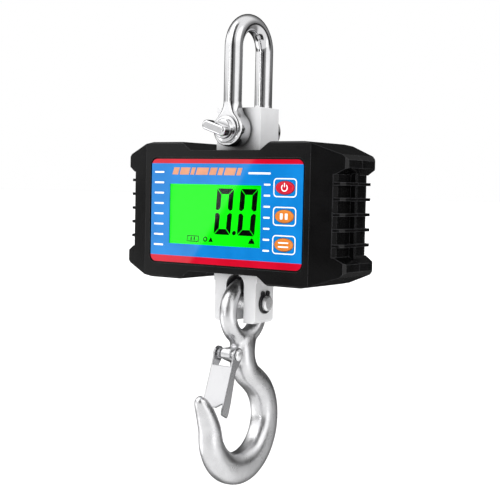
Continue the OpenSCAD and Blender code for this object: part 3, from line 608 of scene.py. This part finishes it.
def hook_rings(sides=56):
    """Rings square to the line through the hook's stations."""
    line = spline(HOOK_STATIONS, 8)
    rings = []
    for i, (y, z, wide, thick, power) in enumerate(line):
        before, after = line[max(i - 1, 0)], line[min(i + 1, len(line) - 1)]
        way = Vector((after[0] - before[0], after[1] - before[1])).normalized()
        ring = []
        for c, s in ellipse(1, 1, sides):
            across, out = wide * bent(c, power), thick * bent(s, power)
            ring.append((across, y + out * way[1], z - out * way[0]))
        rings.append(ring)
    return rings


# The ring eye at the hook's top, and the flare between it and the shank as drop below the ring's middle, half
# width and half depth.
RING_RADIUS, RING_TUBE = 19.25, 6.25
RING_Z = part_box("hook")[1].z / MM - (RING_RADIUS + RING_TUBE)
FLARE = [(18, 5.6, 16.6), (21, 6.4, 14.8), (23.4, 7.4, 12.6), (26, 8.2, 10.8), (29, 8.6, 9.6),
         (33, 8.7, 9.0)]
flare_rings = [[(x, y, z) for x, y in ellipse(a, b, 48)]
               for z, a, b in spline([(RING_Z - drop, a, b) for drop, a, b in FLARE], 4)]

# The lug that carries the latch's rivet.
LUG_HALF, RIVET_BORE = 4.3, 2.46
LUG_OUTLINE = [(-3, CASE_Z - 95), (-12, CASE_Z - 98.5), (PIVOT[0] - 2, PIVOT[1] + 4.4),
               (PIVOT[0] - 4.1, PIVOT[1] + 1.8), (PIVOT[0] - 4.1, PIVOT[1] - 2),
               (PIVOT[0] - 1, PIVOT[1] - 4.3), (-8, CASE_Z - 111), (-3, CASE_Z - 113)]

# The four shapes are fused and their corners smoothed like a forging's.
VOXEL, SMOOTHINGS = ((0.65, 9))
hook = make("hook_forged", joined(
    skin(hook_rings()), skin(torus((0, RING_Z), RING_RADIUS, RING_TUBE), closed=True), skin(flare_rings),
    prism_x(LUG_OUTLINE, -LUG_HALF, LUG_HALF)))
modifier(hook, "REMESH", mode="VOXEL", voxel_size=VOXEL * MM)
modifier(hook, "SMOOTH", factor=0.5, iterations=SMOOTHINGS)
settle(hook)
cut(hook, make("bore", skin(lathe([(-8, RIVET_BORE), (8, RIVET_BORE)], PIVOT, "x", 40))))
piece(shade(hook, 50, weighted=False), "hook", "zinc_forging", FORGED, "hook")

RIVET_SIDE = [(9.6, 2.4), (9.6, 4.1), (9.75, 4.3), (10.1, 4.25), (10.6, 3.9), (11.0, 3.2), (11.22, 2.2),
              (11.28, 0.3)]
rivet = make("latch_rivet_headed", skin(lathe(mirrored(RIVET_SIDE), PIVOT, "x", 48)))
piece(shade(rivet), "hook", "plated_pin", PLATED, "latch_rivet")

COIL_RADIUS, COIL_WIRE = 3.5, 0.42
COIL_X, COIL_LENGTH = -7.55, 2.45
COIL_START, COIL_TURNS, COIL_STEPS = 200, 2.75, 150


def coil_rings():
    """Rings along a wire that is wound round the rivet and thinner at its two ends."""
    rings = []
    for i in range(COIL_STEPS + 1):
        a = math.radians(COIL_START + i * 360 * COIL_TURNS / COIL_STEPS)
        centre = Vector((COIL_X + COIL_LENGTH * i / COIL_STEPS, PIVOT[0] + COIL_RADIUS * math.cos(a),
                         PIVOT[1] + COIL_RADIUS * math.sin(a)))
        out = Vector((0, math.cos(a), math.sin(a)))
        wire = COIL_WIRE * (0.75 if i in (0, COIL_STEPS) else 1)
        rings.append([centre + out * wire * c + Vector((wire * s, 0, 0)) for c, s in ellipse(1, 1, 12)])
    return rings


coil = make("latch_spring_wire", skin(coil_rings()))
piece(shade(coil), "hook", "screw_steel", SCREW, "latch_spring")


# ---------------------------------------------------------------- keys and print

def slab(outline, centre, front, back):
    """A flat shape in X and Z, from its front to its back."""
    return skin([[(centre[0] + x, y, centre[1] + z) for x, z in outline] for y in (front, back)])


# Depth behind the key's front, half width and half height, from the middle of its dome to its stem.
CAP_ROWS = [(0, 0.15, 0.1), (0.01, 3.4, 1.7), (0.06, 5.6, 3.1), (0.16, 6.8, 3.9), (0.36, 7.4, 4.35),
            (0.7, 7.65, 4.5), (3.85, 7.65, 4.5), (3.9, 9.2, 5.8), (4.0, 9.4, 6.0), (4.8, 9.4, 6.0),
            (4.9, 3.2, 3.2)]
STEM_END = 2.4


def key_cap(node):
    """A domed oval key on a flange, with a stem down to its switch."""
    lo, hi = [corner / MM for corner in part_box(node)]
    x, z = (lo.x + hi.x) / 2, (lo.z + hi.z) / 2
    rows = [(lo.y + depth, a, b) for depth, a, b in CAP_ROWS] + [(hi.y, STEM_END, STEM_END)]
    return [[(x + u, y, z + v) for u, v in ellipse(a, b)] for y, a, b in rows]


def arc(radius, width, start, end, steps=28):
    """A flat band along an arc, in degrees, clockwise from the top."""
    points = []
    for r, order in ((radius + width / 2, 1), (radius - width / 2, -1)):
        sweep = [start + (end - start) * k / steps for k in range(steps + 1)][::order]
        points += [(r * math.sin(math.radians(a)), r * math.cos(math.radians(a))) for a in sweep]
    return points


def bar(x0, x1, z0, z1, radius=0.3):
    """A rounded rectangle's points between two corners."""
    a, b = (x1 - x0) / 2, (z1 - z0) / 2
    return [(x + (x0 + x1) / 2, z + (z0 + z1) / 2) for x, z in rounded(a, b, radius, 4)]


POWER_ICON = [arc(2.3, 0.75, 38, 322), bar(-0.38, 0.38, 0.4, 3.3)]
HOLD_ICON = [bar(-3.1, -0.9, -2.1, 2.1, 0.4), bar(0.9, 3.1, -2.1, 2.1, 0.4)]
TARE_ICON = [bar(-4.2, 4.2, 0.9, 1.9, 0.4), bar(-4.2, 4.2, -1.9, -0.9, 0.4)]
KEY_LOOKS = {"key_power": ("key_red", KEY_RED, POWER_ICON),
             "key_hold": ("key_orange", KEY_ORANGE, HOLD_ICON),
             "key_tare": ("key_orange", KEY_ORANGE, TARE_ICON)}
for node, (slot, look, icon) in KEY_LOOKS.items():
    cap = make(node + "_cap", skin(key_cap(node)))
    piece(shade(cap, 30), node, slot, look, node)
    centre = (KEYS[node].x, KEYS[node].z)
    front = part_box(node)[0].y / MM
    mark = make(node + "_icon", joined(*[slab(shape, centre, front - 0.03, front + 0.3) for shape in icon]))
    piece(shade(mark), node, "label_print", WHITE_INK)


def framed(centre, front, back, a, b, radius, width):
    """A rounded frame of half sizes a and b, printed round a centre."""
    outer, inner = rounded(a, b, radius, 10), rounded(a - width, b - width, radius - width, 10)
    rings = []
    for (x0, z0), (x1, z1) in zip(outer, inner):
        rings.append([(centre[0] + x, y, centre[1] + z) for x, z, y in
                      ((x0, z0, front), (x1, z1, front), (x1, z1, back), (x0, z0, back))])
    return skin(rings, closed=True)


INK_FRONT, INK_BACK = LABEL_Y - 0.04, LABEL_Y + 0.1
RULE_HALF = 0.65


def rules(x0, x1, top, pitch, count):
    """A column of short lines, from its top line down, with z from the middle of the casing."""
    heights = [top - pitch * k for k in range(count)]
    return [bar(x0, x1, z - RULE_HALF, z + RULE_HALF, 0.5) for z in heights]


def printed(shape):
    """A shape in the casing's own X and Z as a layer of ink on the label."""
    return slab(shape, (0, CASE_Z), INK_FRONT, INK_BACK)


white_lines = rules(-63.5, -54.7, 27.9, 7.64, 8) + rules(34.5, 39.9, 20.1, 7.62, 7)
white_lines.append(bar(21.1, 39.9, 27.1, 28.5, 0.6))
key_frames = [framed((key.x, key.z), INK_FRONT, INK_BACK, a=9.5, b=6.55, radius=2.8, width=0.8)
              for key in KEYS.values()]
ink = make("label_white_print", joined(*[printed(line) for line in white_lines], *key_frames))
piece(shade(ink), "scale_body", "label_print", WHITE_INK)

# A row of slanted bars stands where the title was.
TITLE_FOOT, TITLE_TOP, TITLE_SLANT, TITLE_GAP = 26.2, 31.4, 1.7, 1.5
title = []
left = -47.0
for width in (5.2, 8.4, 3.4, 10.6, 6.0, 4.2, 9.4, 3.6):
    right = left + width
    title.append(printed([(left, TITLE_FOOT), (right, TITLE_FOOT), (right + TITLE_SLANT, TITLE_TOP),
                          (left + TITLE_SLANT, TITLE_TOP)]))
    left = right + TITLE_GAP
ink = make("label_orange_print", joined(*title))
piece(shade(ink), "scale_body", "label_print", ORANGE_INK)


# ---------------------------------------------------------------- floor, light and camera

# Lengths are in metres from here on.
FLOOR_HALF, FLOOR_DROP = 30, 0.09
floor_corners = [(x * FLOOR_HALF, y * FLOOR_HALF, 0) for x, y in ((-1, -1), (1, -1), (1, 1), (-1, 1))]
floor_mesh = bpy.data.meshes.new("floor")
floor_mesh.from_pydata(floor_corners, [], [(0, 1, 2, 3)])
floor = bpy.data.objects.new("floor", floor_mesh)
scene.collection.objects.link(floor)
floor.location = (0, 0, cad_box[0].z - FLOOR_DROP)
floor.visible_glossy = False
floor.visible_transmission = False
pale = new_tree("pale_floor")
paper_tone = pale.mix(pale.noise(pale.place(), 3), (0.9, 0.9, 0.9, 1), (0.93, 0.93, 0.93, 1))
spread = pale.add("ShaderNodeVectorMath", {0: pale.place()}, operation="LENGTH").outputs["Value"]
pale.set(Base_Color=paper_tone, Roughness=0.9, Specular_IOR_Level=0.1, Emission_Color=(1, 1, 1, 1),
         Emission_Strength=pale.between(spread, 0.4, 2.5, 0.05, 0.4))
floor_mesh.materials.append(pale.owner)

world = bpy.data.worlds.new("studio")
scene.world = world
tree = Tree(world)
tree.nodes.clear()
direction = tree.add("ShaderNodeTexCoord").outputs["Generated"]


def facing(x, y, z):
    """1 in a direction, 0 square to it and -1 opposite."""
    way = Vector((x, y, z)).normalized()
    return tree.add("ShaderNodeVectorMath", {0: direction, 1: way}, operation="DOT_PRODUCT").outputs["Value"]


def beside(x, y, z):
    """0 on the plane square to a direction, 1 along the direction and opposite."""
    return tree.math("ABSOLUTE", facing(x, y, z), 0.0)


def times(first, *others):
    """The product of some values."""
    for other in others:
        first = tree.math("MULTIPLY", first, other)
    return first


def most(first, *others):
    """The largest of some values."""
    for other in others:
        first = tree.math("MAXIMUM", first, other)
    return first


def without(value):
    """1 less a value."""
    return tree.math("SUBTRACT", 1.0, value)


# Where a direction points: its height, whether it is level with the casing or higher, how far it points away
# from the camera's side, and whether it is left of the slanted edge of the soft box.
height = tree.add("ShaderNodeSeparateXYZ", {0: direction}).outputs["Z"]
eye_level = times(tree.between(height, -0.16, -0.08), tree.between(height, 0.12, 0.05))
above = tree.between(height, 0.05, 0.10)
beyond = facing(-0.573, 0.818, 0)
left_side = tree.between(facing(0.6985, -0.5028, -0.5092), 0.003, -0.003)

# The front of the casing mirrors a soft box at the left, whose slanted edge crosses the label. The room is
# light above and below.
near_box = times(left_side, tree.between(facing(-0.70, -0.71, 0.03), 0.92, 0.965), 0.55)
wide_box = times(left_side, tree.between(facing(-0.88, -0.47, 0.05), 0.70, 0.80), without(eye_level),
                 tree.between(height, 0.56, 0.42))
upper_box = times(above, tree.between(beside(0.906, -0.423, 0), 0.52, 0.42),
                  tree.between(facing(-0.423, -0.906, 0), 0.05, 0.3))
soft_box = most(near_box, wide_box, upper_box)
overhead = times(tree.between(height, 0.15, 0.7), tree.between(beyond, 0.6, 0.3))
right_box = tree.between(facing(0.97, -0.05, 0.2), 0.80, 0.92)
low_card = times(tree.between(height, -0.10, -0.22), tree.between(beyond, 0.45, 0.20))
ROOM_LEVEL, FLAG_SHADE, STRIP_LEVEL = 0.30, 0.92, 7.0
level = ROOM_LEVEL
for light, strength in ((soft_box, 1.15), (overhead, 0.85), (right_box, 1.10), (low_card, 0.85)):
    level = tree.math("ADD", level, times(light, strength))

# Dark flags stand at the height of the casing, in front, behind and at the left, and taller ones beyond it
# and where the shackle mirrors them. They take most of the light away.
front_flag = times(tree.between(facing(-0.17, -0.98, 0), 0.80, 0.90), without(left_side))
back_flag = tree.between(facing(0.56, 0.82, 0), 0.62, 0.84)
left_flag = tree.between(facing(-0.99, -0.08, 0), 0.84, 0.93, 0.0, 0.45)
upper_flag = times(above, tree.between(beside(0.93, 0.36, 0), 0.26, 0.18),
                   tree.between(facing(0.36, -0.93, 0), 0.05, 0.3))
far_flag = tree.between(beyond, 0.60, 0.85)
flags = most(times(most(front_flag, back_flag, left_flag), eye_level), far_flag, upper_flag)
level = times(level, without(times(flags, FLAG_SHADE)))

# A narrow lamp at eye level draws a bright line down rounded edges and upright round parts.
strip = times(eye_level, tree.between(beside(0.957, -0.28, 0), 0.08, 0.03),
              tree.between(facing(-0.28, -0.957, 0), 0.2, 0.4))
level = tree.math("ADD", level, times(strip, STRIP_LEVEL))

# The camera sees white paper, and everything else the studio.
studio = tree.add("ShaderNodeBackground", {"Color": level, "Strength": 1.0})
paper = tree.add("ShaderNodeBackground", {"Color": (1, 1, 1, 1), "Strength": 1.0})
seen = tree.add("ShaderNodeLightPath").outputs["Is Camera Ray"]
both = tree.add("ShaderNodeMixShader", {0: seen, 1: studio.outputs[0], 2: paper.outputs[0]})
tree.add("ShaderNodeOutputWorld", {"Surface": both.outputs[0]})

# Both lamps aim near the middle of the scale.
LAMP_AIM = Vector((0, 0, -0.15))


def area_light(name, place, size, power):
    """A square lamp that lights the scale and isn't seen or mirrored."""
    lamp = bpy.data.lights.new(name, "AREA")
    lamp.shape, lamp.size, lamp.energy = "SQUARE", size, power
    obj = bpy.data.objects.new(name, lamp)
    scene.collection.objects.link(obj)
    obj.location = place
    obj.rotation_mode = "QUATERNION"
    obj.rotation_quaternion = (Vector(place) - LAMP_AIM).to_track_quat("Z", "Y")
    obj.visible_camera = False
    obj.visible_glossy = False
    obj.visible_transmission = False


area_light("key_light", (-0.9, -0.8, 1.3), 1.2, 12)
area_light("fill_light", (1.3, -0.7, 0.5), 1.0, 9)

scene.view_settings.view_transform = "Standard"
scene.view_settings.look = "None"

camera_data = bpy.data.cameras.new("camera")
camera_data.lens, camera_data.sensor_width = 78.9, 36
camera_data.clip_start, camera_data.clip_end = 0.01, 50
camera = bpy.data.objects.new("camera", camera_data)
scene.collection.objects.link(camera)
# The camera stands at the front right, level with the casing.
right, up = Vector((0.818221, 0.574471, 0.022302)), Vector((-0.050808, 0.033616, 0.998143))
place = Vector((0.46252, -0.654207, -0.112317))
camera.matrix_world = Matrix((*zip(right, up, right.cross(up), place), (0, 0, 0, 1)))
scene.camera = camera
